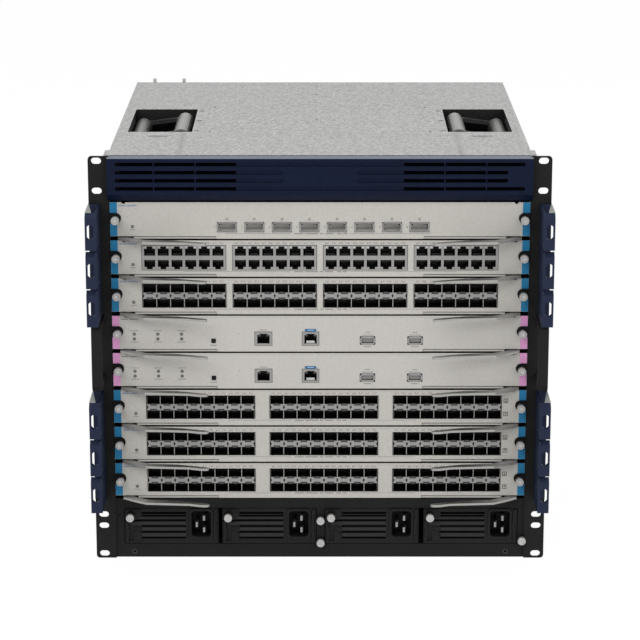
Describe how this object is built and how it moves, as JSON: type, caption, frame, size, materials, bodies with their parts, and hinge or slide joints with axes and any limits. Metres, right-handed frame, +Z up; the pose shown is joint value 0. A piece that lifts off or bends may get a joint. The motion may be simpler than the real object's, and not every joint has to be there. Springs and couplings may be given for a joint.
{
  "type": "modular chassis switch",
  "caption": "Rack mount chassis with sliding line and control cards, ejector levers, plug-in power supplies, rear fan drawers, side cable guides and fold-up lifting handles.",
  "frame": {"origin": "on the underside, on the centre line, at the rear face of the rack ears, where they meet the rails", "axes": "+X to the right seen from the front, +Y to the rear, +Z up"},
  "size_m": [0.4826, 0.51, 0.4461],
  "materials": {
    "galvanised_sheet": "zinc coated sheet, matt with a fine speckle",
    "black_steel": "black powder coat with a fine texture",
    "navy_plastic": "navy moulded plastic, satin",
    "card_face": "warm light grey paint, satin",
    "port_metal": "stamped and plated port shields, bare knobs",
    "bare_steel": "bare bright sheet, slightly brushed",
    "module_black": "black paint, satin",
    "guide_plastic": "black moulded plastic",
    "board": "green circuit board",
    "filter_foam": "open black filter pad",
    "fan_plastic": "black moulded plastic"
  },
  "bodies": {
    "chassis": {"base_plate": "black_steel", "top_cover": "galvanised_sheet", "front_frame": "black_steel", "rear_panel": "galvanised_sheet", "card_guides": "guide_plastic", "midplane": "board", "fascia": "navy_plastic", "air_filter": "filter_foam", "side_panel_left": "galvanised_sheet", "rack_ear_left": "black_steel", "cable_guide_upper_left": "navy_plastic", "cable_guide_lower_left": "navy_plastic", "carry_handle_left": "black_steel", "side_panel_right": "galvanised_sheet", "rack_ear_right": "black_steel", "cable_guide_upper_right": "navy_plastic", "cable_guide_lower_right": "navy_plastic", "carry_handle_right": "black_steel"},
    "card_1": {"card_1": "card_face", "card_1_hardware": "port_metal"},
    "card_1_lever_left": {"card_1_lever_left": "bare_steel"},
    "card_1_lever_right": {"card_1_lever_right": "bare_steel"},
    "card_2": {"card_2": "card_face", "card_2_hardware": "port_metal"},
    "card_2_lever_left": {"card_2_lever_left": "bare_steel"},
    "card_2_lever_right": {"card_2_lever_right": "bare_steel"},
    "card_3": {"card_3": "card_face", "card_3_hardware": "port_metal"},
    "card_3_lever_left": {"card_3_lever_left": "bare_steel"},
    "card_3_lever_right": {"card_3_lever_right": "bare_steel"},
    "card_4": {"card_4": "card_face", "card_4_hardware": "port_metal"},
    "card_4_lever_left": {"card_4_lever_left": "bare_steel"},
    "card_4_lever_right": {"card_4_lever_right": "bare_steel"},
    "card_5": {"card_5": "card_face", "card_5_hardware": "port_metal"},
    "card_5_lever_left": {"card_5_lever_left": "bare_steel"},
    "card_5_lever_right": {"card_5_lever_right": "bare_steel"},
    "card_6": {"card_6": "card_face", "card_6_hardware": "port_metal"},
    "card_6_lever_left": {"card_6_lever_left": "bare_steel"},
    "card_6_lever_right": {"card_6_lever_right": "bare_steel"},
    "card_7": {"card_7": "card_face", "card_7_hardware": "port_metal"},
    "card_7_lever_left": {"card_7_lever_left": "bare_steel"},
    "card_7_lever_right": {"card_7_lever_right": "bare_steel"},
    "card_8": {"card_8": "card_face", "card_8_hardware": "port_metal"},
    "card_8_lever_left": {"card_8_lever_left": "bare_steel"},
    "card_8_lever_right": {"card_8_lever_right": "bare_steel"},
    "lift_handle_left": {"lift_handle_left": "bare_steel"},
    "lift_handle_right": {"lift_handle_right": "bare_steel"},
    "psu_1": {"psu_1": "module_black"},
    "psu_2": {"psu_2": "module_black"},
    "psu_3": {"psu_3": "module_black"},
    "psu_4": {"psu_4": "module_black"},
    "fan_tray_left": {"fan_tray_left": "module_black"},
    "fan_rotor_left": {"fan_rotor_left": "fan_plastic"},
    "fan_tray_right": {"fan_tray_right": "module_black"},
    "fan_rotor_right": {"fan_rotor_right": "fan_plastic"}
  },
  "joints": [
    {"name": "card_1_slide", "type": "slide", "parent": "chassis", "child": "card_1", "axis": [0, -1, 0], "range_m": [0, 0.3]},
    {"name": "card_1_lever_left_hinge", "type": "hinge", "parent": "card_1", "child": "card_1_lever_left", "pos_m": [-0.206, 0.002, 0.3542], "axis": [0, 0, -1], "range_deg": [0, 50]},
    {"name": "card_1_lever_right_hinge", "type": "hinge", "parent": "card_1", "child": "card_1_lever_right", "pos_m": [0.206, 0.002, 0.3542], "axis": [0, 0, 1], "range_deg": [0, 50]},
    {"name": "card_2_slide", "type": "slide", "parent": "chassis", "child": "card_2", "axis": [0, -1, 0], "range_m": [0, 0.3]},
    {"name": "card_2_lever_left_hinge", "type": "hinge", "parent": "card_2", "child": "card_2_lever_left", "pos_m": [-0.206, 0.002, 0.3134], "axis": [0, 0, -1], "range_deg": [0, 50]},
    {"name": "card_2_lever_right_hinge", "type": "hinge", "parent": "card_2", "child": "card_2_lever_right", "pos_m": [0.206, 0.002, 0.3134], "axis": [0, 0, 1], "range_deg": [0, 50]},
    {"name": "card_3_slide", "type": "slide", "parent": "chassis", "child": "card_3", "axis": [0, -1, 0], "range_m": [0, 0.3]},
    {"name": "card_3_lever_left_hinge", "type": "hinge", "parent": "card_3", "child": "card_3_lever_left", "pos_m": [-0.206, 0.002, 0.2726], "axis": [0, 0, -1], "range_deg": [0, 50]},
    {"name": "card_3_lever_right_hinge", "type": "hinge", "parent": "card_3", "child": "card_3_lever_right", "pos_m": [0.206, 0.002, 0.2726], "axis": [0, 0, 1], "range_deg": [0, 50]},
    {"name": "card_4_slide", "type": "slide", "parent": "chassis", "child": "card_4", "axis": [0, -1, 0], "range_m": [0, 0.3]},
    {"name": "card_4_lever_left_hinge", "type": "hinge", "parent": "card_4", "child": "card_4_lever_left", "pos_m": [-0.206, 0.002, 0.2318], "axis": [0, 0, -1], "range_deg": [0, 50]},
    {"name": "card_4_lever_right_hinge", "type": "hinge", "parent": "card_4", "child": "card_4_lever_right", "pos_m": [0.206, 0.002, 0.2318], "axis": [0, 0, 1], "range_deg": [0, 50]},
    {"name": "card_5_slide", "type": "slide", "parent": "chassis", "child": "card_5", "axis": [0, -1, 0], "range_m": [0, 0.3]},
    {"name": "card_5_lever_left_hinge", "type": "hinge", "parent": "card_5", "child": "card_5_lever_left", "pos_m": [-0.206, 0.002, 0.191], "axis": [0, 0, -1], "range_deg": [0, 50]},
    {"name": "card_5_lever_right_hinge", "type": "hinge", "parent": "card_5", "child": "card_5_lever_right", "pos_m": [0.206, 0.002, 0.191], "axis": [0, 0, 1], "range_deg": [0, 50]},
    {"name": "card_6_slide", "type": "slide", "parent": "chassis", "child": "card_6", "axis": [0, -1, 0], "range_m": [0, 0.3]},
    {"name": "card_6_lever_left_hinge", "type": "hinge", "parent": "card_6", "child": "card_6_lever_left", "pos_m": [-0.206, 0.002, 0.1502], "axis": [0, 0, -1], "range_deg": [0, 50]},
    {"name": "card_6_lever_right_hinge", "type": "hinge", "parent": "card_6", "child": "card_6_lever_right", "pos_m": [0.206, 0.002, 0.1502], "axis": [0, 0, 1], "range_deg": [0, 50]},
    {"name": "card_7_slide", "type": "slide", "parent": "chassis", "child": "card_7", "axis": [0, -1, 0], "range_m": [0, 0.3]},
    {"name": "card_7_lever_left_hinge", "type": "hinge", "parent": "card_7", "child": "card_7_lever_left", "pos_m": [-0.206, 0.002, 0.1094], "axis": [0, 0, -1], "range_deg": [0, 50]},
    {"name": "card_7_lever_right_hinge", "type": "hinge", "parent": "card_7", "child": "card_7_lever_right", "pos_m": [0.206, 0.002, 0.1094], "axis": [0, 0, 1], "range_deg": [0, 50]},
    {"name": "card_8_slide", "type": "slide", "parent": "chassis", "child": "card_8", "axis": [0, -1, 0], "range_m": [0, 0.3]},
    {"name": "card_8_lever_left_hinge", "type": "hinge", "parent": "card_8", "child": "card_8_lever_left", "pos_m": [-0.206, 0.002, 0.0686], "axis": [0, 0, -1], "range_deg": [0, 50]},
    {"name": "card_8_lever_right_hinge", "type": "hinge", "parent": "card_8", "child": "card_8_lever_right", "pos_m": [0.206, 0.002, 0.0686], "axis": [0, 0, 1], "range_deg": [0, 50]},
    {"name": "lift_handle_left_hinge", "type": "hinge", "parent": "chassis", "child": "lift_handle_left", "pos_m": [-0.1998, 0.2065, 0.425], "axis": [0, -1, 0], "range_deg": [0, 82]},
    {"name": "lift_handle_right_hinge", "type": "hinge", "parent": "chassis", "child": "lift_handle_right", "pos_m": [0.1998, 0.2065, 0.425], "axis": [0, 1, 0], "range_deg": [0, 82]},
    {"name": "psu_1_slide", "type": "slide", "parent": "chassis", "child": "psu_1", "axis": [0, -1, 0], "range_m": [0, 0.29]},
    {"name": "psu_2_slide", "type": "slide", "parent": "chassis", "child": "psu_2", "axis": [0, -1, 0], "range_m": [0, 0.29]},
    {"name": "psu_3_slide", "type": "slide", "parent": "chassis", "child": "psu_3", "axis": [0, -1, 0], "range_m": [0, 0.29]},
    {"name": "psu_4_slide", "type": "slide", "parent": "chassis", "child": "psu_4", "axis": [0, -1, 0], "range_m": [0, 0.29]},
    {"name": "fan_tray_left_slide", "type": "slide", "parent": "chassis", "child": "fan_tray_left", "axis": [0, 1, 0], "range_m": [0, 0.12]},
    {"name": "fan_rotor_left_spin", "type": "hinge", "parent": "fan_tray_left", "child": "fan_rotor_left", "pos_m": [-0.103, 0.4205, 0.24845], "axis": [0, 1, 0], "continuous": true},
    {"name": "fan_tray_right_slide", "type": "slide", "parent": "chassis", "child": "fan_tray_right", "axis": [0, 1, 0], "range_m": [0, 0.12]},
    {"name": "fan_rotor_right_spin", "type": "hinge", "parent": "fan_tray_right", "child": "fan_rotor_right", "pos_m": [0.103, 0.4205, 0.24845], "axis": [0, 1, 0], "continuous": true}
  ]
}
